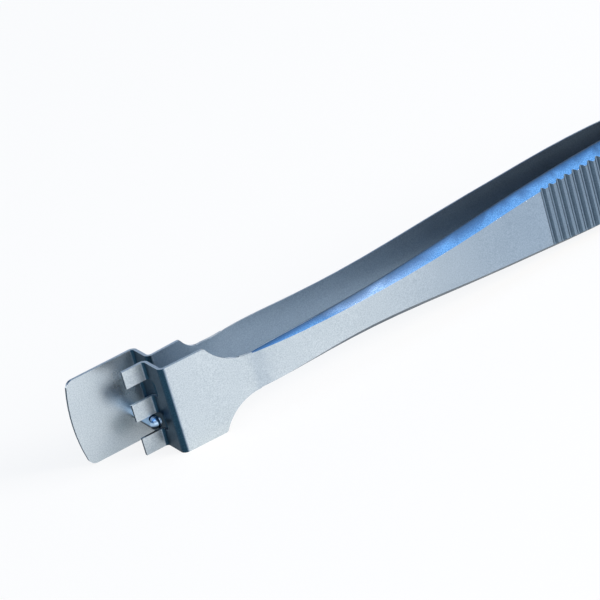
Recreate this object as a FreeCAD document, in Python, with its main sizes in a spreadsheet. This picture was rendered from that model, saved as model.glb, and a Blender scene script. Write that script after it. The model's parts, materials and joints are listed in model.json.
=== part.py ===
# Three-prong tweezers for thin flat discs, in steel.
# The tweezers lie on their side edges: the tip points to -X, the prong arm is at -Y, the
# paddle arm at +Y, and Z runs across the width of the arms. Both arms are drawn with their
# tail end at X = 0 and their weld plane at Y = 0. At the end the whole model is moved so
# that its origin is the middle of the base of its box. Lengths are millimetres.
import FreeCAD, Part
import math
import os
import re

import Sketcher

Vector = FreeCAD.Vector
doc = FreeCAD.newDocument("ThreeProngTweezers")

# Driving dimensions. A station is a cross-section of an arm. Its length is the distance from
# the station before it, gap is from the weld plane to the arm's inner face, half is half the
# arm's width, thick is its thickness, and bevel is the width lost at each long edge of the
# outer face.
SIZES = [
    ("tail_half", 3.3), ("tail_thick", 1.35), ("tail_bevel", 0.55), ("tail_round", 2.2),
    ("weld_length", 13.0), ("weld_half", 4.0), ("weld_thick", 1.5), ("weld_bevel", 0.7),
    ("spring_length", 4.0), ("spring_gap", 0.28), ("spring_half", 4.25), ("spring_thick", 1.55),
    ("spring_bevel", 0.75),
    ("heel_length", 13.0), ("heel_gap", 1.35), ("heel_half", 5.3), ("heel_thick", 2.0),
    ("heel_bevel", 0.95),
    ("palm_length", 15.0), ("palm_gap", 2.52), ("palm_half", 5.84), ("palm_thick", 2.32),
    ("palm_bevel", 1.1),
    ("grip_length", 15.5), ("grip_gap", 2.94), ("grip_half", 5.1), ("grip_thick", 1.92),
    ("grip_bevel", 1.1),
    ("shank_length", 12.0), ("shank_gap", 3.38), ("shank_half", 4.11), ("shank_thick", 1.91),
    ("shank_bevel", 1.11),
    ("taper_length", 13.0), ("taper_gap", 3.72), ("taper_half", 3.04), ("taper_thick", 1.41),
    ("taper_bevel", 0.95),
    ("neck_length", 13.0), ("neck_gap", 4.28), ("neck_half", 2.78), ("neck_thick", 1.11),
    ("neck_bevel", 0.6),
    ("collar_length", 8.5), ("collar_bevel", 0.12),
    ("prong_collar_gap", 4.59), ("prong_collar_half", 2.72),
    ("paddle_collar_gap", 2.5), ("paddle_collar_half", 3.6),
    ("edge_land", 0.25), ("sheet_thick", 0.45), ("bend_radius", 0.45),
    ("head_half", 6.35), ("shoulder_round", 0.5),
    ("prong_notch_length", 0.3), ("prong_notch_radius", 7.0), ("prong_head_gap", 4.24),
    ("prong_step_depth", 4.44), ("prong_length", 3.35), ("prong_width", 2.54),
    ("slot_in_step", 1.6), ("slot_corner", 0.8),
    ("paddle_notch_length", 3.9), ("paddle_notch_half", 4.3), ("paddle_notch_radius", 3.4),
    ("throat_radius", 22.0), ("throat_length", 6.2), ("throat_gap", 0.56),
    ("paddle_head_length", 5.3), ("paddle_head_gap", 0.3), ("step_clearance", 0.48),
    ("paddle_step_depth", 4.12), ("paddle_length", 11.2), ("paddle_front_radius", 24.0),
    ("paddle_corner", 1.2),
    ("groove_from_grip", 2.1), ("groove_field", 24.5), ("groove_pitch", 1.36),
    ("groove_width", 0.85), ("groove_depth", 0.36), ("groove_floor", 0.2),
    ("pin_radius", 0.9), ("pin_clearance", 0.15), ("pin_offset", 0.2), ("pin_height", 6.0),
    ("pin_dome", 0.7),
]
ALIASES = {alias for alias, value in SIZES}
sizes = doc.addObject("Spreadsheet::Sheet", "Sizes")
for row, (alias, value) in enumerate(SIZES, start=1):
    sizes.set(f"A{row}", alias)
    sizes.set(f"B{row}", str(value))
    sizes.setAlias(f"B{row}", alias)
doc.recompute()


def bound(formula):
    """The formula with each size written as its cell of the sheet."""
    return re.sub(r"[a-z_]+", lambda word: f"Sizes.{word[0]}" if word[0] in ALIASES else word[0], formula)


def value_of(formula):
    """The present value of a formula of sizes, in millimetres."""
    return float(sizes.evalExpression(bound(formula)))


def new_body(name):
    body = doc.addObject("PartDesign::Body", name)
    body.Label = name
    return body


def new_sketch(body, name, role, offset=None):
    """A sketch on one of the body's own planes, moved along the plane's normal."""
    sketch = body.newObject("Sketcher::SketchObject", name)
    plane = next(item for item in body.Origin.OriginFeatures if item.Role == role)
    sketch.AttachmentSupport = [(plane, "")]
    sketch.MapMode = "FlatFace"
    if offset is not None:
        sketch.setExpression("AttachmentOffset.Base.z", bound(offset))
    return sketch


def arc_between(start, end, radius):
    """The short arc from start to end; its centre is on the left for a positive radius."""
    chord = end - start
    left = Vector(-chord.y, chord.x, 0).normalize()
    rise = math.sqrt(max(radius**2 - (chord.Length / 2) ** 2, 0))
    centre = (start + end) / 2 + left * math.copysign(rise, radius)
    circle = Part.Circle(centre, Vector(0, 0, 1), abs(radius))
    first, last = circle.parameter(start), circle.parameter(end)
    if radius > 0:
        return Part.ArcOfCircle(circle, first, last), 1, 2
    return Part.ArcOfCircle(circle, last, first), 2, 1


def draw_outline(sketch, corners):
    """A closed outline: each corner is (x, y), or (x, y, radius) where an arc starts."""
    places = [Vector(value_of(corner[0]), value_of(corner[1]), 0) for corner in corners]
    edges = []
    for index, corner in enumerate(corners):
        start, end = places[index], places[(index + 1) % len(places)]
        if len(corner) == 3:
            shape, head, foot = arc_between(start, end, value_of(corner[2]))
        else:
            shape, head, foot = Part.LineSegment(start, end), 1, 2
        edges.append((sketch.addGeometry(shape, False), head, foot))
    for index, corner in enumerate(corners):
        edge, head, foot = edges[index]
        before = edges[index - 1]
        sketch.addConstraint(Sketcher.Constraint("Coincident", before[0], before[2], edge, head))
        for kind, formula in (("DistanceX", corner[0]), ("DistanceY", corner[1])):
            rule = Sketcher.Constraint(kind, -1, 1, edge, head, value_of(formula))
            sketch.setExpression(f"Constraints[{sketch.addConstraint(rule)}]", bound(formula))
        if len(corner) == 3:
            radius = f"abs({corner[2]})"
            rule = Sketcher.Constraint("Radius", edge, value_of(radius))
            sketch.setExpression(f"Constraints[{sketch.addConstraint(rule)}]", bound(radius))


def draw_line(sketch, start, end):
    """One straight line between two points."""
    ends = [Vector(value_of(x), value_of(y), 0) for x, y in (start, end)]
    edge = sketch.addGeometry(Part.LineSegment(*ends), False)
    for foot, point in ((1, start), (2, end)):
        for kind, formula in (("DistanceX", point[0]), ("DistanceY", point[1])):
            rule = Sketcher.Constraint(kind, -1, 1, edge, foot, value_of(formula))
            sketch.setExpression(f"Constraints[{sketch.addConstraint(rule)}]", bound(formula))


def draw_circle(sketch, x, y, radius):
    circle = Part.Circle(Vector(value_of(x), value_of(y), 0), Vector(0, 0, 1), value_of(radius))
    edge = sketch.addGeometry(circle, False)
    for kind, formula in (("DistanceX", x), ("DistanceY", y)):
        rule = Sketcher.Constraint(kind, -1, 1, edge, 3, value_of(formula))
        sketch.setExpression(f"Constraints[{sketch.addConstraint(rule)}]", bound(formula))
    rule = Sketcher.Constraint("Radius", edge, value_of(radius))
    sketch.setExpression(f"Constraints[{sketch.addConstraint(rule)}]", bound(radius))


def pad_across(body, sketch, name, half):
    """A pad of the sketch to both sides of its plane."""
    pad = body.newObject("PartDesign::Pad", name)
    pad.Profile = sketch
    pad.SideType = "Symmetric"
    pad.setExpression("Length", bound(f"2 * ({half})"))
    return pad


def cut_through(body, sketch, name):
    """A pocket of the sketch through the whole body, to both sides of its plane."""
    pocket = body.newObject("PartDesign::Pocket", name)
    pocket.Profile = sketch
    pocket.SideType = "Symmetric"
    pocket.setExpression("Length", bound(f"2 * {TIP_AT}"))
    return pocket


def edges_at(shape, places, along):
    """Names of the straight edges along a direction that pass through the given places."""
    near, parallel = 0.05, 0.999
    names = []
    for index, edge in enumerate(shape.Edges, start=1):
        if not isinstance(edge.Curve, Part.Line):
            continue
        if abs(edge.tangentAt(edge.FirstParameter).dot(along)) < parallel:
            continue
        middle = edge.CenterOfMass
        for place in places:
            away = middle - place
            if (away - along * away.dot(along)).Length < near:
                names.append(f"Edge{index}")
                break
    return names


def round_edges(body, name, base, places, along, radius):
    """A fillet on the edges of the base feature that pass through the given places."""
    doc.recompute()
    names = edges_at(base.Shape, places, along)
    fillet = body.newObject("PartDesign::Fillet", name)
    fillet.Base = (base, names)
    fillet.setExpression("Radius", bound(radius))
    return fillet


STATIONS = ("tail", "weld", "spring", "heel", "palm", "grip", "shank", "taper", "neck", "collar")
NOTCH_HALF = {"prong": "prong_collar_half", "paddle": "paddle_notch_half"}
ALONG_Y = Vector(0, 1, 0)
ALONG_Z = Vector(0, 0, 1)


def place_of(station):
    """Distance of a station from the tail end: the sum of the lengths up to it."""
    spans = [f"{name}_length" for name in STATIONS[1:STATIONS.index(station) + 1]]
    return f"({' + '.join(spans or ['0'])})"


def notch_start(arm):
    """Where the hollow curve behind a head starts, from the tail end."""
    return f"({place_of('collar')} + {arm}_notch_length)"


def shoulder_place(arm):
    """Where that curve meets the head's side edge: the run of an arc that starts along the arm."""
    level, radius = f"(head_half - {NOTCH_HALF[arm]})", f"{arm}_notch_radius"
    return f"({notch_start(arm)} + sqrt(2 * {radius} * {level} - {level} ^ 2))"


# The two steps nest when the jaws close, the prong arm's in front of the paddle arm's.
COLLAR_AT = place_of("collar")
THROAT_AT = f"({COLLAR_AT} + throat_length)"
PADDLE_STEP_AT = f"({shoulder_place('paddle')} + paddle_head_length)"
PRONG_STEP_AT = f"({PADDLE_STEP_AT} + step_clearance + sheet_thick)"
PRONG_TIP_AT = f"({PRONG_STEP_AT} + prong_length)"
TIP_AT = f"({PADDLE_STEP_AT} + paddle_length)"

# The pin stands just in front of the prong arm's step, between the middle and lower prongs.
PIN_AT = f"({PRONG_STEP_AT} + pin_clearance + pin_radius)"
PIN_LEVEL = "((head_half - prong_width / 2) / 2 - pin_offset)"


def station_formulas(station, arm):
    """Gap, half width, thickness and bevel of an arm at a station."""
    gap = "0" if station in ("tail", "weld") else f"{station}_gap"
    half, thick = f"{station}_half", f"{station}_thick"
    if station == "collar":
        gap, half, thick = f"{arm}_collar_gap", f"{arm}_collar_half", "sheet_thick"
    return gap, half, thick, f"{station}_bevel"


def loft_arm(body, arm, side):
    """The arm from the tail to the collar: flat inner face, bevelled outer face."""
    sections = []
    for station in STATIONS:
        gap, half, thick, bevel = station_formulas(station, arm)
        section = new_sketch(body, f"{arm}_{station}", "YZ_Plane", f"-{place_of(station)}")
        inner = f"{side} * {gap}"
        land = f"{side} * ({gap} + edge_land)"
        outer = f"{side} * ({gap} + {thick})"
        draw_outline(section, [
            (inner, f"-{half}"), (inner, half), (land, half),
            (outer, f"{half} - {bevel}"), (outer, f"{bevel} - {half}"), (land, f"-{half}"),
        ])
        sections.append(section)
    doc.recompute()
    tail = body.newObject("PartDesign::AdditiveLoft", f"{arm}_tail_end")
    tail.Profile = sections[0]
    tail.Sections = [sections[1]]
    tail.Ruled = True
    doc.recompute()
    blade = body.newObject("PartDesign::AdditiveLoft", f"{arm}_blade")
    blade.Profile = sections[1]
    blade.Sections = sections[2:]
    doc.recompute()
    return blade


def round_tail(body, arm):
    """Both corners of the tail end are rounded off."""
    width = "tail_half + tail_round * (weld_half - tail_half) / weld_length"
    corner = new_sketch(body, f"{arm}_tail_corners", "XZ_Plane")
    for way, turn in (("", "-"), ("-", "")):
        draw_outline(corner, [
            ("-tail_round", f"{way}({width})", f"{turn}tail_round"),
            ("0", f"{way}({width} - tail_round)"),
            ("tail_round", f"{way}({width} - tail_round)"),
            ("tail_round", f"{way}({width} + tail_round)"),
            ("-tail_round", f"{way}({width} + tail_round)"),
        ])
    return cut_through(body, corner, f"{arm}_tail_round")


def trim_neck(body, arm):
    """The sheet is cut in behind the head, to the neck's width, with a hollow curve."""
    waste = new_sketch(body, f"{arm}_neck_outline", "XZ_Plane")
    start, shoulder = f"-{COLLAR_AT}", f"-{shoulder_place(arm)}"
    beyond = "head_half + collar_length"
    for way, turn in (("", "-"), ("-", "")):
        draw_outline(waste, [
            (start, f"{way}({arm}_collar_half)"),
            (f"-{notch_start(arm)}", f"{way}({NOTCH_HALF[arm]})", f"{turn}{arm}_notch_radius"),
            (shoulder, f"{way}(head_half)"),
            (shoulder, f"{way}({beyond})"),
            (start, f"{way}({beyond})"),
        ])
    trimmed = cut_through(body, waste, f"{arm}_neck")
    doc.recompute()
    return trimmed


def round_shoulders(body, arm, base):
    """The two corners where the hollow curve of the neck meets the head's side edges."""
    place, half = -value_of(shoulder_place(arm)), value_of("head_half")
    corners = [Vector(place, 0, half), Vector(place, 0, -half)]
    return round_edges(body, f"{arm}_shoulders", base, corners, ALONG_Y, "shoulder_round")


def cut_grooves(body, arm, side):
    """Straight grooves across the outer face of the grip: one is cut, then repeated along it."""
    slope = "((grip_gap + grip_thick - palm_gap - palm_thick) / grip_length)"
    first = f"({place_of('grip')} - groove_from_grip)"
    face = f"(grip_gap + grip_thick - groove_from_grip * {slope})"
    floor, rim = f"{side} * ({face} - groove_depth)", f"{side} * ({face} + groove_depth)"
    rim_half = "(groove_width - groove_floor / 2)"
    profile = new_sketch(body, f"{arm}_groove_profile", "XY_Plane")
    draw_outline(profile, [
        (f"-{first} - groove_floor / 2", floor), (f"-{first} + groove_floor / 2", floor),
        (f"-{first} + {rim_half}", rim), (f"-{first} - {rim_half}", rim),
    ])
    groove = cut_through(body, profile, f"{arm}_groove")
    path = new_sketch(body, f"{arm}_groove_path", "XY_Plane")
    draw_line(path, (f"-{first}", f"{side} * {face}"), (
        f"groove_field - {first}", f"{side} * ({face} - groove_field * {slope})"))
    doc.recompute()
    pattern = body.newObject("PartDesign::LinearPattern", f"{arm}_grooves")
    pattern.Originals = [groove]
    pattern.Direction = (path, ["Edge1"])
    pattern.Mode = "Spacing"
    pattern.setExpression("Offset", bound("groove_pitch"))
    pattern.setExpression("Occurrences", bound("floor(groove_field / groove_pitch) + 1"))
    body.Tip = pattern
    return pattern


def build_prong_arm():
    """The arm whose stepped head ends in three prongs with two slots between them."""
    body = new_body("prong_arm")
    loft_arm(body, "prong", "-1")
    round_tail(body, "prong")
    profile = new_sketch(body, "prong_jaw_profile", "XY_Plane")
    inner_wall = f"sheet_thick - {PRONG_STEP_AT}"
    draw_outline(profile, [
        (f"-{COLLAR_AT}", "-prong_collar_gap"),
        (inner_wall, "-prong_head_gap"),
        (inner_wall, "prong_step_depth - prong_head_gap"),
        (f"-{PRONG_TIP_AT}", "prong_step_depth - prong_head_gap"),
        (f"-{PRONG_TIP_AT}", "prong_step_depth - prong_head_gap - sheet_thick"),
        (f"-{PRONG_STEP_AT}", "prong_step_depth - prong_head_gap - sheet_thick"),
        (f"-{PRONG_STEP_AT}", "-prong_head_gap - sheet_thick"),
        (f"-{COLLAR_AT}", "-prong_collar_gap - sheet_thick"),
    ])
    pad_across(body, profile, "prong_jaw", "head_half")
    neck = trim_neck(body, "prong")
    face, head = value_of("prong_step_depth - prong_head_gap"), value_of("prong_head_gap")
    thick, wall = value_of("sheet_thick"), value_of(PRONG_STEP_AT)
    inside = [Vector(thick - wall, -head, 0), Vector(-wall, face - thick, 0)]
    outside = [Vector(thick - wall, face, 0), Vector(-wall, -head - thick, 0)]
    bends = round_edges(body, "prong_inner_bends", neck, inside, ALONG_Z, "bend_radius")
    bends = round_edges(body, "prong_outer_bends", bends, outside, ALONG_Z, "bend_radius + sheet_thick")
    behind_step = f"sheet_thick + 2 * bend_radius - {PRONG_STEP_AT}"
    slots = new_sketch(body, "prong_slot_profiles", "YZ_Plane", behind_step)
    root = "prong_step_depth - prong_head_gap - sheet_thick - slot_in_step"
    for way, turn in (("", ""), ("-", "-")):
        low, high = f"{way}(prong_width / 2)", f"{way}(head_half - prong_width)"
        draw_outline(slots, [
            ("prong_step_depth", low), (f"{root} + slot_corner", low, f"{turn}(-slot_corner)"),
            (root, f"{way}(prong_width / 2 + slot_corner)"),
            (root, f"{way}(head_half - prong_width - slot_corner)", f"{turn}(-slot_corner)"),
            (f"{root} + slot_corner", high), ("prong_step_depth", high),
        ])
    pocket = body.newObject("PartDesign::Pocket", "prong_slots")
    pocket.Profile = slots
    pocket.Reversed = False
    pocket.setExpression("Length", bound("paddle_length + prong_length"))
    doc.recompute()
    round_shoulders(body, "prong", pocket)
    cut_grooves(body, "prong", "-1")
    return body


def build_paddle_arm():
    """The arm whose stepped head ends in a thin paddle with a gently curved front."""
    body = new_body("paddle_arm")
    loft_arm(body, "paddle", "1")
    round_tail(body, "paddle")
    profile = new_sketch(body, "paddle_jaw_profile", "XY_Plane")
    wall_back = f"sheet_thick - {PADDLE_STEP_AT}"
    draw_outline(profile, [
        (f"-{COLLAR_AT}", "paddle_collar_gap", "-throat_radius"),
        (f"-{THROAT_AT}", "throat_gap"),
        (f"-{PADDLE_STEP_AT}", "paddle_head_gap"),
        (f"-{PADDLE_STEP_AT}", "paddle_head_gap + paddle_step_depth"),
        (f"-{TIP_AT}", "paddle_head_gap + paddle_step_depth"),
        (f"-{TIP_AT}", "paddle_head_gap + paddle_step_depth + sheet_thick"),
        (wall_back, "paddle_head_gap + paddle_step_depth + sheet_thick"),
        (wall_back, "paddle_head_gap + sheet_thick"),
        (f"-{THROAT_AT}", "throat_gap + sheet_thick", "throat_radius - sheet_thick"),
        (f"-{COLLAR_AT}", "paddle_collar_gap + sheet_thick"),
    ])
    pad_across(body, profile, "paddle_jaw", "head_half")
    neck = trim_neck(body, "paddle")
    gap, thick = value_of("paddle_head_gap"), value_of("sheet_thick")
    wall, step = value_of(PADDLE_STEP_AT), value_of("paddle_step_depth")
    inside = [Vector(-wall, gap + step, 0), Vector(thick - wall, gap + thick, 0)]
    outside = [Vector(-wall, gap, 0), Vector(thick - wall, gap + step + thick, 0)]
    bends = round_edges(body, "paddle_inner_bends", neck, inside, ALONG_Z, "bend_radius")
    bends = round_edges(body, "paddle_outer_bends", bends, outside, ALONG_Z, "bend_radius + sheet_thick")
    front_edge = f"(paddle_front_radius - sqrt(paddle_front_radius ^ 2 - head_half ^ 2) - {TIP_AT})"
    beyond = f"-{TIP_AT} - sheet_thick"
    front = new_sketch(body, "paddle_front_outline", "XZ_Plane")
    draw_outline(front, [
        (front_edge, "-head_half", "-paddle_front_radius"), (front_edge, "head_half"),
        (beyond, "head_half"), (beyond, "-head_half"),
    ])
    curved = cut_through(body, front, "paddle_front")
    half = value_of("head_half")
    corners = [Vector(value_of(front_edge), 0, z) for z in (half, -half)]
    rounded = round_edges(body, "paddle_corners", curved, corners, ALONG_Y, "paddle_corner")
    round_shoulders(body, "paddle", rounded)
    cut_grooves(body, "paddle", "1")
    seat = new_sketch(body, "pin_seat_outline", "XZ_Plane")
    draw_circle(seat, f"-{PIN_AT}", f"-{PIN_LEVEL}", "pin_radius")
    cut_through(body, seat, "pin_seat")
    return body


def build_guide_pin():
    """The pin pressed through the paddle, in the lower slot, with a domed end."""
    body = new_body("guide_pin")
    profile = new_sketch(body, "pin_profile", "XY_Plane", f"-{PIN_LEVEL}")
    face = "paddle_head_gap + paddle_step_depth"
    dome = "(pin_radius ^ 2 + pin_dome ^ 2) / (2 * pin_dome)"
    draw_outline(profile, [
        (f"-{PIN_AT}", f"{face} + sheet_thick"),
        (f"-{PIN_AT} - pin_radius", f"{face} + sheet_thick"),
        (f"-{PIN_AT} - pin_radius", f"{face} - pin_height + pin_dome", dome),
        (f"-{PIN_AT}", f"{face} - pin_height"),
    ])
    turned = body.newObject("PartDesign::Revolution", "pin_turned")
    turned.Profile = profile
    turned.ReferenceAxis = (profile, ["Edge4"])
    turned.Angle = 360.0
    return body


bodies = [build_prong_arm(), build_paddle_arm(), build_guide_pin()]
doc.recompute()

# The origin is moved to the middle of the base of the whole model's box.
boxes = [body.Shape.optimalBoundingBox() for body in bodies]
middle_x = (min(box.XMin for box in boxes) + max(box.XMax for box in boxes)) / 2
middle_y = (min(box.YMin for box in boxes) + max(box.YMax for box in boxes)) / 2
base_z = min(box.ZMin for box in boxes)
for body in bodies:
    body.Placement = FreeCAD.Placement(Vector(-middle_x, -middle_y, -base_z), FreeCAD.Rotation())
doc.recompute()

for item in doc.Objects:
    if "Invalid" in item.State or "Error" in item.State:
        raise RuntimeError(f"{item.Name} failed: {item.State}")
os.makedirs("parts", exist_ok=True)
for body in bodies:
    shape = body.Shape
    if shape.isNull() or not shape.isValid() or len(shape.Solids) != 1:
        raise RuntimeError(f"{body.Label} is not one valid solid")
    shape.exportStep(f"parts/{body.Label}.step")
    print(body.Label, "volume", round(shape.Volume, 2), "mm3")
print("moved by", round(-middle_x, 4), round(-middle_y, 4), round(-base_z, 4))
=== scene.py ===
# Three-prong tweezers for thin flat discs, lying on their side edges on a pale table.
# The two steel arms and the guide pin come from the imported model, in metres. The arms get
# softened edges and a steel finish that changes from face to face, with painted shade on the
# faces that mirror shadow. The pin is turned anew.
import bisect
import json
import math

import bmesh
import bpy
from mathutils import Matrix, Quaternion, Vector


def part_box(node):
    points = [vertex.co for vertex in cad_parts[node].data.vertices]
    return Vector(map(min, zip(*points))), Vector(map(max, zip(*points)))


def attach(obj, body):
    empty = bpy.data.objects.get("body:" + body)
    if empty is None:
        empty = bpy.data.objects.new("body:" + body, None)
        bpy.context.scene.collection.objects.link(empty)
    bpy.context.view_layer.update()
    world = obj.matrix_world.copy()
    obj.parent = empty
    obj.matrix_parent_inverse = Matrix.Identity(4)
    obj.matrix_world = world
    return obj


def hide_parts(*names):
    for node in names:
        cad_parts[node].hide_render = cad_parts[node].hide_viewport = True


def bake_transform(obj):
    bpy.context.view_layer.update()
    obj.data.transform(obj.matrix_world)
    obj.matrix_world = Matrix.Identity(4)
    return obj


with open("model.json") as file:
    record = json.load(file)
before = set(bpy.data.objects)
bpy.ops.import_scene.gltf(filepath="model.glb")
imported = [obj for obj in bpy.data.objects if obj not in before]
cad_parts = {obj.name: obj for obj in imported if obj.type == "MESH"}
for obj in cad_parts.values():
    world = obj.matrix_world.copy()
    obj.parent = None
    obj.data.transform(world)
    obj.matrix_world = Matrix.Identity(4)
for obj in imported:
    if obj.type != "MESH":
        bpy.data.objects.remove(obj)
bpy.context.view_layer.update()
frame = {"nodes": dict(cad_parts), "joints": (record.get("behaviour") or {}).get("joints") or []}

# The paddle arm. One strip of stainless steel, stamped, ground to a tapering blade with
# bevelled long edges, then bent twice where the thin paddle steps away from the head.
# Its tail is spot-welded to the other arm's.
MM = 0.001
MERGE_DISTANCE = 0.0005 * MM
FLAT_ANGLE = math.radians(0.02)

# Edges sharper than this are rounded. The narrow band of faces that this gives counts for
# little in the corner normals, so that the broad faces beside it stay flat.
EDGE_ANGLE = math.radians(40)
EDGE_ROUNDING = 0.06 * MM
EDGE_SEGMENTS = 2
ROUND_PROFILE = 0.5
BROAD_FACE = 0.2 * MM * MM
BAND_WEIGHT = 0.001

# A face whose normal points up or down by a share between these two is a ground bevel.
BEVEL_FACE_LOW = 0.3
BEVEL_FACE_HIGH = 0.97

# Places along the arm, from the jaws to the tail. Faces further out than GRIP_OUTSIDE from the
# middle, between the arms, are on the outer side of the grip.
HEAD_BACK = -53.2 * MM
BLADE_FRONT = -34.0 * MM
GRIP_FRONT = 6.4 * MM
GRIP_BACK = 33.0 * MM
WELD_AT = 52.0 * MM
GRIP_OUTSIDE = 3.7 * MM

# The mask: 0 is steel as ground, at 0.5 the steel has its half dark tone, and 1 is its full
# dark tone. The dark tones are painted shade, for the shadow that faces mirror or lie in, and
# on the milled grip partly a darker milled finish. Each kind of face has its own share.
SHADE_AND_MILLING_MASK = "painted_shade_and_milling"
HALF_SHADE_LEVEL = 0.5
# Painted shade along the blade, growing from the blade to the grip and fading again towards the weld.
GRIP_SHADE = 0.46
# Painted shade on the paddle arm's inner side, between the arms, deeper towards the grip.
INNER_SIDE = 0.55
INNER_BACK = 0.68
# The milled grip: a darker milled finish, with painted shade on the groove walls.
MILLED = 0.66
GROOVE_WALL_SHADE = 0.22
# Painted shade on the narrow flat along the prong arm's top, and on the bevels fading from their inner
# edge down.
LAND_SHADE = 0.8
BEVEL_INNER = 0.8
BEVEL_HEIGHT = 0.5 * MM
# Painted shade on the bent walls and sheared ends that face the front.
FACING_FRONT_LOW = 0.06
FACING_FRONT_HIGH = 0.36

# The steel's tones, each as a light and a dark one that the grit and the clouds mix.
STEEL_SATIN = "#DAE2E6"
STEEL_SATIN_DARK = "#BAC5CB"
STEEL_GROUND = "#F4F8FB"
STEEL_GROUND_DARK = "#B0C4D8"
# The half dark tone: painted shade on the way to the full one.
STEEL_HALF_SHADE = "#97AABC"
STEEL_HALF_SHADE_DARK = "#8496A8"
# The full dark tone is painted shade, for the shadow that these faces mirror.
STEEL_FULL_SHADE = "#2C4A5C"
STEEL_FULL_SHADE_DARK = "#1A3444"
DULL_ROUGHNESS = 0.38

# The patterns in the steel. Of the tint, SPECKLE is the grit's share and the rest the clouds'.
# A span is the part of a pattern's range that a change is spread over.
SATIN_GRIT = 0.17 * MM
GRIND_LINE = 0.12 * MM
GRIND_LENGTH = 4.0 * MM
CLOUD_SIZE = 9.0 * MM
SPECKLE = 0.85
TINT_SPAN = (0.35, 0.65)
CLOUD_SPAN = (0.3, 0.7)

# A Mix node has its own sockets for each kind of value. These are the ones for colours.
FIRST_COLOUR, SECOND_COLOUR, MIXED_COLOUR = 6, 7, 2


def linear(code):
    """The linear colour of an sRGB hex value."""
    parts = [int(code[place:place + 2], 16) / 255 for place in (1, 3, 5)]
    toe, slope, offset, power = 0.04045, 12.92, 0.055, 2.4
    return [p / slope if p <= toe else ((p + offset) / (1 + offset)) ** power for p in parts] + [1.0]


def add_node(tree, kind, settings=None, links=None):
    """A node with its settings; links maps an input to a socket of another node."""
    node = tree.nodes.new(kind)
    for name, value in (settings or {}).items():
        if name in node.inputs:
            node.inputs[name].default_value = value
        else:
            setattr(node, name, value)
    for name, socket in (links or {}).items():
        tree.links.new(socket, node.inputs[name])
    return node


def fade(tree, value, span, first, second):
    """A colour that goes from first to second, hex values or sockets, as a value crosses a span."""
    low, high = span
    share = add_node(tree, "ShaderNodeMapRange", {"From Min": low, "From Max": high}, {"Value": value})
    mixed = add_node(tree, "ShaderNodeMix", {"data_type": "RGBA"}, {"Factor": share.outputs["Result"]})
    for place, colour in ((FIRST_COLOUR, first), (SECOND_COLOUR, second)):
        if isinstance(colour, str):
            mixed.inputs[place].default_value = linear(colour)
        else:
            tree.links.new(colour, mixed.inputs[place])
    return mixed.outputs[MIXED_COLOUR]


def steel(name, light, dark, roughness, grit_height, line_height):
    """Stainless steel with a speckled grit, lengthwise grinding lines and faint clouds. With the
    mask it goes over to a half and then a full dark tone: painted shade, and on the milled grip
    partly a darker milled finish."""
    material = bpy.data.materials.new(name)
    material.use_nodes = True
    tree = material.node_tree
    shader = tree.nodes["Principled BSDF"]
    shader.inputs["Metallic"].default_value = 1.0
    place = add_node(tree, "ShaderNodeTexCoord").outputs["Object"]
    clouds = add_node(tree, "ShaderNodeTexNoise",
                      {"Scale": 1 / CLOUD_SIZE, "Detail": 4.0, "Roughness": 0.55},
                      {"Vector": place})
    grit = add_node(tree, "ShaderNodeTexNoise",
                    {"Scale": 1 / SATIN_GRIT, "Detail": 2.0, "Roughness": 0.7},
                    {"Vector": place})
    stretch = add_node(tree, "ShaderNodeMapping",
                       {"Scale": (1 / GRIND_LENGTH, 1 / GRIND_LINE, 1 / GRIND_LINE)},
                       {"Vector": place})
    lines = add_node(tree, "ShaderNodeTexNoise",
                     {"Scale": 1.0, "Detail": 3.0, "Roughness": 0.6},
                     {"Vector": stretch.outputs["Vector"]})
    mottle = add_node(tree, "ShaderNodeMix", {"data_type": "FLOAT", "Factor": SPECKLE},
                      {"A": clouds.outputs["Fac"], "B": grit.outputs["Fac"]})
    tint = mottle.outputs["Result"]
    own_tone = fade(tree, tint, TINT_SPAN, dark, light)
    half_shade_tone = fade(tree, tint, TINT_SPAN, STEEL_HALF_SHADE_DARK, STEEL_HALF_SHADE)
    full_shade_tone = fade(tree, tint, TINT_SPAN, STEEL_FULL_SHADE_DARK, STEEL_FULL_SHADE)
    mask = add_node(tree, "ShaderNodeAttribute", {"attribute_name": SHADE_AND_MILLING_MASK}).outputs["Fac"]
    partly_shaded_tone = fade(tree, mask, (0.0, HALF_SHADE_LEVEL), own_tone, half_shade_tone)
    tone = fade(tree, mask, (HALF_SHADE_LEVEL, 1.0), partly_shaded_tone, full_shade_tone)
    tree.links.new(tone, shader.inputs["Base Color"])
    cloud_low, cloud_high = CLOUD_SPAN
    smooth, rough = roughness
    spread = add_node(tree, "ShaderNodeMapRange",
                      {"From Min": cloud_low, "From Max": cloud_high, "To Min": smooth, "To Max": rough},
                      {"Value": clouds.outputs["Fac"]})
    duller = add_node(tree, "ShaderNodeMix", {"data_type": "FLOAT", "B": DULL_ROUGHNESS},
                      {"Factor": mask, "A": spread.outputs["Result"]})
    tree.links.new(duller.outputs["Result"], shader.inputs["Roughness"])
    pitted = add_node(tree, "ShaderNodeBump", {"Strength": 1.0, "Distance": grit_height},
                      {"Height": grit.outputs["Fac"]})
    scored = add_node(tree, "ShaderNodeBump", {"Strength": 1.0, "Distance": line_height},
                      {"Height": lines.outputs["Fac"], "Normal": pitted.outputs["Normal"]})
    tree.links.new(scored.outputs["Normal"], shader.inputs["Normal"])
    return material


# Tumbled satin stainless steel: a fine even grit that softens every reflection. The grit is
# drawn about four times its real size, so that it shows at all.
satin_steel = steel("satin_stainless", STEEL_SATIN, STEEL_SATIN_DARK,
                    roughness=(0.27, 0.36), grit_height=0.003 * MM, line_height=0.0005 * MM)
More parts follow.
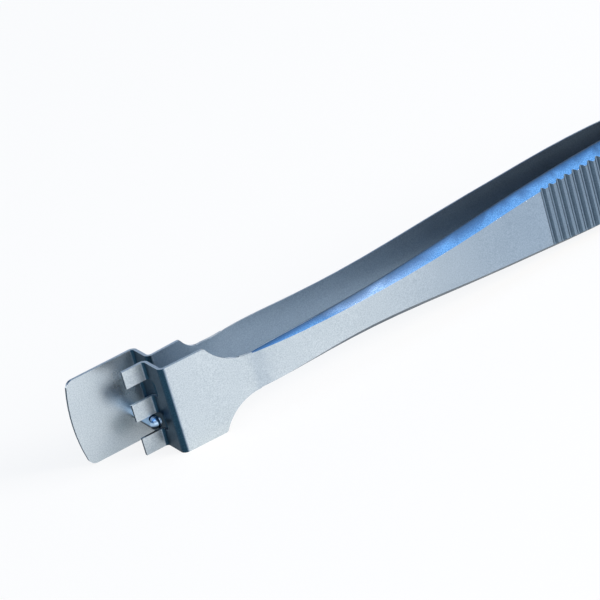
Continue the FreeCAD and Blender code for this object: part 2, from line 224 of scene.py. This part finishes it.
# Stainless steel ground lengthwise on a belt: shinier, with a coarser sparkle along the blade.
# Its lines, too, are drawn a few times wider than they are.
ground_steel = steel("belt_ground_stainless", STEEL_GROUND, STEEL_GROUND_DARK,
                     roughness=(0.12, 0.18), grit_height=0.006 * MM, line_height=0.002 * MM)


def rise(value, low, high):
    """A smooth rise from 0 at low to 1 at high."""
    ratio = min(max((value - low) / (high - low), 0), 1)
    return ratio * ratio * (3 - 2 * ratio)


def shade_and_milling_share(normal, place, along):
    """How dark a face is painted, from its normal and its place, at a point along the arm: mostly
    painted shade, and on the milled grip partly a darker milled finish.
    """
    # Faces turned down get the full painted shade, for the shadow under the tweezers that they mirror.
    if normal.z < -BEVEL_FACE_LOW:
        return 1
    # Painted shade on the inner side of the paddle arm, behind its head, between the arms.
    if normal.y < 0 < place.y and place.x > HEAD_BACK:
        return INNER_SIDE + (INNER_BACK - INNER_SIDE) * rise(along, BLADE_FRONT, GRIP_FRONT)
    # The heads, where the bent walls and sheared ends that face the front get painted shade.
    if place.x < BLADE_FRONT:
        return rise(-normal.x, FACING_FRONT_LOW, FACING_FRONT_HIGH)
    # The bevels are bright. The narrow flat along the top of the prong arm gets painted shade.
    if normal.z > BEVEL_FACE_LOW:
        return LAND_SHADE if normal.z > BEVEL_FACE_HIGH and place.y < 0 else 0
    # The rest of the blade, with painted shade that grows towards the grip, and the milled grooves
    # of its grip: a darker milled finish, with painted shade on the groove walls.
    grip_shade = GRIP_SHADE * rise(along, BLADE_FRONT, GRIP_FRONT) * rise(-along, -WELD_AT, -GRIP_BACK)
    milled = GRIP_FRONT < place.x < GRIP_BACK and abs(place.y) > GRIP_OUTSIDE
    return max(grip_shade, MILLED + GROOVE_WALL_SHADE * abs(normal.x)) if milled else grip_shade


def depth_below(top, point):
    """How far a point lies below the top edge, given as sorted (x, z) pairs."""
    after = min(max(bisect.bisect_left(top, (point.x, 0)), 1), len(top) - 1)
    (x0, z0), (x1, z1) = top[after - 1], top[after]
    along = min(max((point.x - x0) / max(x1 - x0, MERGE_DISTANCE), 0), 1)
    return max(z0 + (z1 - z0) * along - point.z, 0)


def finish_corners(mesh, rounding):
    """Corner normals that keep the broad faces flat, and each corner's share of the dark tone,
    mostly painted shade. On the bevels that painted shade fades from their upper, inner edge down."""
    around = [[] for _ in mesh.vertices]
    for face in mesh.polygons:
        for vertex in face.vertices:
            around[vertex].append(face.index)
    normals = [face.normal.copy() for face in mesh.polygons]
    centres = [face.center.copy() for face in mesh.polygons]
    slanted = [BEVEL_FACE_LOW < normal.z < BEVEL_FACE_HIGH for normal in normals]
    weights = [min(face.area, BROAD_FACE) * (BAND_WEIGHT if face.index in rounding else 1)
               for face in mesh.polygons]
    level = [face for face in mesh.polygons if face.normal.z > BEVEL_FACE_HIGH]
    top = sorted((mesh.vertices[vertex].co.x, mesh.vertices[vertex].co.z)
                 for face in level for vertex in face.vertices)
    corner_normals, corner_shares = [], []
    for face in mesh.polygons:
        for vertex in face.vertices:
            point = mesh.vertices[vertex].co
            near = [one for one in around[vertex]
                    if normals[one].angle(normals[face.index]) < EDGE_ANGLE
                    and (one in rounding or face.index in rounding or slanted[one] == slanted[face.index])]
            total = Vector((0, 0, 0))
            for one in near:
                total += normals[one] * weights[one]
            corner_normals.append(tuple(total.normalized()))
            if slanted[face.index]:
                share = BEVEL_INNER * (1 - min(depth_below(top, point) / BEVEL_HEIGHT, 1))
            else:
                dull = sum(shade_and_milling_share(normals[one], centres[one], point.x) * weights[one] for one in near)
                share = dull / sum(weights[one] for one in near)
            corner_shares.append(share)
    mask = mesh.attributes.new(SHADE_AND_MILLING_MASK, "FLOAT", "CORNER")
    mask.data.foreach_set("value", corner_shares)
    mesh.normals_split_custom_set(corner_normals)


def finished_arm(node, name, cuts):
    """A merged copy of an arm, cut across at the given places, with rounded edges and both steels."""
    mesh = bpy.data.meshes.new(name)
    shape = bmesh.new()
    bands = shape.faces.layers.int.new("rounding")
    shape.from_mesh(frame["nodes"][node].data)
    bmesh.ops.remove_doubles(shape, verts=shape.verts, dist=MERGE_DISTANCE)
    bmesh.ops.dissolve_limit(shape, angle_limit=FLAT_ANGLE, verts=shape.verts, edges=shape.edges)
    for place in cuts:
        bmesh.ops.bisect_plane(shape, geom=shape.verts[:] + shape.edges[:] + shape.faces[:],
                               dist=MERGE_DISTANCE, plane_co=(place, 0, 0), plane_no=(1, 0, 0))
    for face in shape.faces:
        face.smooth = True
        face.material_index = int(BEVEL_FACE_LOW < abs(face.normal.z) < BEVEL_FACE_HIGH)
    hard = [edge for edge in shape.edges
            if len(edge.link_faces) == 2 and edge.calc_face_angle() > EDGE_ANGLE]
    rounded = bmesh.ops.bevel(shape, geom=hard, offset=EDGE_ROUNDING, offset_type="OFFSET",
                              affect="EDGES", segments=EDGE_SEGMENTS, profile=ROUND_PROFILE,
                              material=-1, clamp_overlap=True)
    for face in rounded["faces"]:
        face[bands] = 1
    bmesh.ops.triangulate(shape, faces=shape.faces)
    rounding = {index for index, face in enumerate(shape.faces) if face[bands]}
    shape.to_mesh(mesh)
    shape.free()
    for finish in (satin_steel, ground_steel):
        mesh.materials.append(finish)
    finish_corners(mesh, rounding)
    piece = bpy.data.objects.new(name, mesh)
    bpy.context.scene.collection.objects.link(piece)
    return piece


paddle_arm = finished_arm("paddle_arm", "paddle_arm_steel", [])
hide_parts("paddle_arm")
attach(paddle_arm, "paddle_side")

# The guide pin. A small turned pin of hardened steel, pressed through the paddle from behind.
# Its polished domed end stands between the middle and lower prongs.
PIN_CHAMFER = 0.08 * MM
DOME_SHARE = 0.778
DOME_STEPS = 8
TURN_STEPS = 48
PIN_STEEL = "#A9C4DE"
# Painted shade: the lower half of the pin is painted dark.
PIN_PAINTED_SHADE = "#16222C"
PIN_ROUGHNESS = 0.07
SHADE_BLUR = 0.3 * MM
pin_low, pin_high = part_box("guide_pin")


def polished_steel():
    """Hardened steel, lapped to a mirror: small bright reflections, with painted shade on the lower half.
    """
    material = bpy.data.materials.new("polished_pin_steel")
    material.use_nodes = True
    tree = material.node_tree
    shader = tree.nodes["Principled BSDF"]
    shader.inputs["Metallic"].default_value = 1.0
    shader.inputs["Roughness"].default_value = PIN_ROUGHNESS
    place = add_node(tree, "ShaderNodeTexCoord").outputs["Object"]
    height = add_node(tree, "ShaderNodeSeparateXYZ", links={"Vector": place}).outputs["Z"]
    middle = (pin_low.z + pin_high.z) / 2
    shade_edge = (middle - SHADE_BLUR / 2, middle + SHADE_BLUR / 2)
    tree.links.new(fade(tree, height, shade_edge, PIN_PAINTED_SHADE, PIN_STEEL), shader.inputs["Base Color"])
    return material


def pin_mesh():
    """The pin's half outline, spun about its own axis. Its dome is a cap of a larger ball."""
    radius = (pin_high.x - pin_low.x) / 2
    centre = (pin_low + pin_high) / 2
    dome = radius * DOME_SHARE
    ball = (radius ** 2 + dome ** 2) / (2 * dome)
    outline = [Vector((0, pin_high.y)), Vector((radius - PIN_CHAMFER, pin_high.y)),
               Vector((radius, pin_high.y - PIN_CHAMFER)), Vector((radius, pin_low.y + dome))]
    widest = math.asin(radius / ball)
    for step in range(1, DOME_STEPS + 1):
        angle = widest * (1 - step / DOME_STEPS)
        outline.append(Vector((ball * math.sin(angle), pin_low.y + ball * (1 - math.cos(angle)))))
    shape = bmesh.new()
    verts = [shape.verts.new((centre.x + x, y, centre.z)) for x, y in outline]
    edges = [shape.edges.new(pair) for pair in zip(verts, verts[1:])]
    bmesh.ops.spin(shape, geom=verts + edges, cent=(centre.x, 0, centre.z), axis=(0, 1, 0),
                   angle=math.tau, steps=TURN_STEPS, use_merge=True)
    bmesh.ops.remove_doubles(shape, verts=shape.verts, dist=MERGE_DISTANCE)
    bmesh.ops.recalc_face_normals(shape, faces=shape.faces)
    for face in shape.faces:
        face.smooth = True
    mesh = bpy.data.meshes.new("guide_pin_polished")
    shape.to_mesh(mesh)
    shape.free()
    mesh.set_sharp_from_angle(angle=EDGE_ANGLE)
    return mesh


guide_pin = bpy.data.objects.new("guide_pin_polished", pin_mesh())
bpy.context.scene.collection.objects.link(guide_pin)
guide_pin.data.materials.append(polished_steel())
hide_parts("guide_pin")
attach(guide_pin, "paddle_side")

# The prong arm. The second strip of the same steel, with a stepped head cut into three
# prongs. It is welded to the paddle arm at its tail, and from the weld forwards its mesh is
# cut across in short lengths.
FLEX_END = 55.0 * MM
FLEX_STEP = 1.5 * MM
squeeze = frame["joints"][0]
weld_front = Vector(squeeze["pos_m"])
flex_cuts = [weld_front.x - FLEX_STEP * step for step in range(int(FLEX_END / FLEX_STEP) + 1)]
prong_arm = finished_arm("prong_arm", "prong_arm_steel", flex_cuts)
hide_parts("prong_arm")
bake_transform(prong_arm)

# The table. A plain white sheet that the tweezers lie on. The camera sees it nearly white, the
# steel mirrors it somewhat darker, and the tweezers' own shadow stays in it.
TABLE_SIZE = 6.0
TABLE_WHITE = "#F0EDE6"
CARD_ROUGHNESS = 0.9
SEEN_WHITE = 0.86
MIRRORED_WHITE = 0.45


def white_sheet():
    """Matt white card. Seen directly it is lifted to the white of a bright backdrop."""
    material = bpy.data.materials.new("matt_white_card")
    material.use_nodes = True
    tree = material.node_tree
    shader = tree.nodes["Principled BSDF"]
    shader.inputs["Base Color"].default_value = linear(TABLE_WHITE)
    shader.inputs["Roughness"].default_value = CARD_ROUGHNESS
    path = add_node(tree, "ShaderNodeLightPath")
    glow = add_node(tree, "ShaderNodeEmission", {"Color": linear("#FFFFFF"), "Strength": 1.0})
    shares = []
    for ray, share in (("Is Camera Ray", SEEN_WHITE), ("Is Glossy Ray", MIRRORED_WHITE),
                       ("Is Transmission Ray", MIRRORED_WHITE)):
        part = add_node(tree, "ShaderNodeMath", {"operation": "MULTIPLY"})
        tree.links.new(path.outputs[ray], part.inputs[0])
        part.inputs[1].default_value = share
        shares.append(part.outputs["Value"])
    total = shares[0]
    for share in shares[1:]:
        larger = add_node(tree, "ShaderNodeMath", {"operation": "MAXIMUM"})
        tree.links.new(total, larger.inputs[0])
        tree.links.new(share, larger.inputs[1])
        total = larger.outputs["Value"]
    mixed = add_node(tree, "ShaderNodeMixShader", links={"Fac": total})
    tree.links.new(shader.outputs["BSDF"], mixed.inputs[1])
    tree.links.new(glow.outputs["Emission"], mixed.inputs[2])
    tree.links.new(mixed.outputs["Shader"], tree.nodes["Material Output"].inputs["Surface"])
    return material


sheet = bmesh.new()
bmesh.ops.create_grid(sheet, x_segments=1, y_segments=1, size=TABLE_SIZE / 2)
table_mesh = bpy.data.meshes.new("table")
sheet.to_mesh(table_mesh)
sheet.free()
table = bpy.data.objects.new("table", table_mesh)
bpy.context.scene.collection.objects.link(table)
table.data.materials.append(white_sheet())

# The light. A blue window of sky right above, which the bevels mirror, a deeper sky round it, a
# pale room below that, and two soft lamps. The two edges are given by the upward part of a
# direction, from 0 for level to 1 for straight up.
SKY_BLUE = "#78B4F2"
SKY_DEEP = "#44698F"
ROOM_WHITE = "#DCDFE2"
ROOM_EDGE = (0.3, 0.5)
WINDOW_EDGE = (0.80, 0.885)
ROOM_STRENGTH = 1.25
LAMP_WHITE = "#FFF6EE"
world = bpy.data.worlds.new("studio")
bpy.context.scene.world = world
world.use_nodes = True
room = world.node_tree
direction = add_node(room, "ShaderNodeTexCoord").outputs["Generated"]
upward = add_node(room, "ShaderNodeSeparateXYZ", links={"Vector": direction}).outputs["Z"]
deep_sky = fade(room, upward, ROOM_EDGE, ROOM_WHITE, SKY_DEEP)
backdrop = room.nodes["Background"]
room.links.new(fade(room, upward, WINDOW_EDGE, deep_sky, SKY_BLUE), backdrop.inputs["Color"])
backdrop.inputs["Strength"].default_value = ROOM_STRENGTH


def soft_lamp(name, place, target, size, power):
    """A square area lamp that shines from place towards target."""
    data = bpy.data.lights.new(name, "AREA")
    data.size, data.energy, data.color = size, power, linear(LAMP_WHITE)[:3]
    lamp = bpy.data.objects.new(name, data)
    lamp.location = place
    lamp.rotation_mode = "QUATERNION"
    lamp.rotation_quaternion = (Vector(target) - Vector(place)).to_track_quat("-Z", "Y")
    bpy.context.scene.collection.objects.link(lamp)


soft_lamp("key_lamp", place=(0.5, -0.45, 0.3), target=(0, 0, 0), size=0.4, power=8.5)
soft_lamp("front_lamp", place=(-0.1, -0.6, 0.5), target=(-0.02, 0, 0), size=1.2, power=2.5)

# The camera, fitted to the reference view: a long lens, rolled so that the arms rise to the right.
CAMERA_PLACE = (-0.232469, -0.437602, 0.238104)
CAMERA_AZIMUTH = math.radians(24.7675)
CAMERA_DIP = math.radians(25.3209)
CAMERA_ROLL = math.radians(-16.0921)
LENS = 238.667
SENSOR = 36.0
NEAREST, FURTHEST = 0.01, 20.0
looking = Vector((math.sin(CAMERA_AZIMUTH) * math.cos(CAMERA_DIP),
                  math.cos(CAMERA_AZIMUTH) * math.cos(CAMERA_DIP), -math.sin(CAMERA_DIP)))
camera = bpy.data.objects.new("camera", bpy.data.cameras.new("camera"))
camera.data.lens, camera.data.sensor_width = LENS, SENSOR
camera.data.clip_start, camera.data.clip_end = NEAREST, FURTHEST
camera.location = CAMERA_PLACE
camera.rotation_mode = "QUATERNION"
camera.rotation_quaternion = looking.to_track_quat("-Z", "Y") @ Quaternion((0, 0, 1), CAMERA_ROLL)
bpy.context.scene.collection.objects.link(camera)
bpy.context.scene.camera = camera
bpy.context.scene.view_settings.view_transform = "Standard"
